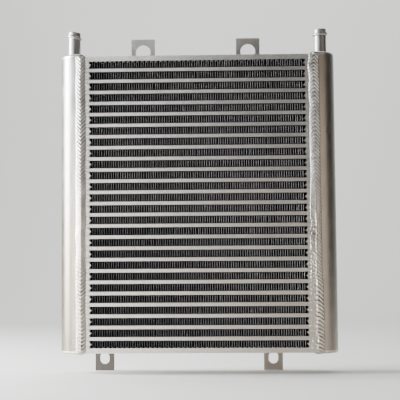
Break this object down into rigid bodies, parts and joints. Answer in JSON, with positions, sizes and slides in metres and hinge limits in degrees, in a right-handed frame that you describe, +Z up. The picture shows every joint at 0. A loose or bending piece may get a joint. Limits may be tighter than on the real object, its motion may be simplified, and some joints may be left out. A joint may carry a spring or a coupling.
{
  "type": "hydraulic oil cooler",
  "caption": "Bar-and-plate aluminium hydraulic oil cooler: finned rectangular core, half-round side tanks, hose stubs on top and flat rear mounting tabs.",
  "frame": {"origin": "centre of the finned core", "axes": "+Z up along the tanks towards the hose stubs, +X to the right seen from the front, and the front face looks along -Y, with the mounting tabs at the rear"},
  "size_m": [0.2884, 0.0549, 0.3604],
  "materials": {
    "core_metal": "matt, grit blasted",
    "fin_metal": "mill, brazed",
    "tank_metal": "satin",
    "port_metal": "satin, drawn tube",
    "tab_metal": "matt, mill",
    "weld_metal": "bright, rippled"
  },
  "bodies": {
    "root": {"air_fin_01": "fin_metal", "air_fin_02": "fin_metal", "air_fin_03": "fin_metal", "air_fin_04": "fin_metal", "air_fin_05": "fin_metal", "air_fin_06": "fin_metal", "air_fin_07": "fin_metal", "air_fin_08": "fin_metal", "air_fin_09": "fin_metal", "air_fin_10": "fin_metal", "air_fin_11": "fin_metal", "air_fin_12": "fin_metal", "air_fin_13": "fin_metal", "air_fin_14": "fin_metal", "air_fin_15": "fin_metal", "air_fin_16": "fin_metal", "air_fin_17": "fin_metal", "air_fin_18": "fin_metal", "air_fin_19": "fin_metal", "air_fin_20": "fin_metal", "air_fin_21": "fin_metal", "air_fin_22": "fin_metal", "air_fin_23": "fin_metal", "air_fin_24": "fin_metal", "air_fin_25": "fin_metal", "air_fin_26": "fin_metal", "bottom_left_tab": "tab_metal", "bottom_right_tab": "tab_metal", "bottom_side_plate": "core_metal", "front_oil_bars": "core_metal", "left_air_bars": "core_metal", "left_bottom_cap": "tank_metal", "left_cap_welds": "weld_metal", "left_end_welds": "weld_metal", "left_front_weld": "weld_metal", "left_port": "port_metal", "left_rear_weld": "weld_metal", "left_tank": "tank_metal", "left_top_cap": "tank_metal", "oil_turbulators": "fin_metal", "parting_sheets": "core_metal", "port_welds": "weld_metal", "rear_oil_bars": "core_metal", "right_air_bars": "core_metal", "right_bottom_cap": "tank_metal", "right_cap_welds": "weld_metal", "right_end_welds": "weld_metal", "right_front_weld": "weld_metal", "right_port": "port_metal", "right_rear_weld": "weld_metal", "right_tank": "tank_metal", "right_top_cap": "tank_metal", "tab_welds": "weld_metal", "top_left_tab": "tab_metal", "top_right_tab": "tab_metal", "top_side_plate": "core_metal"}
  },
  "joints": []
}
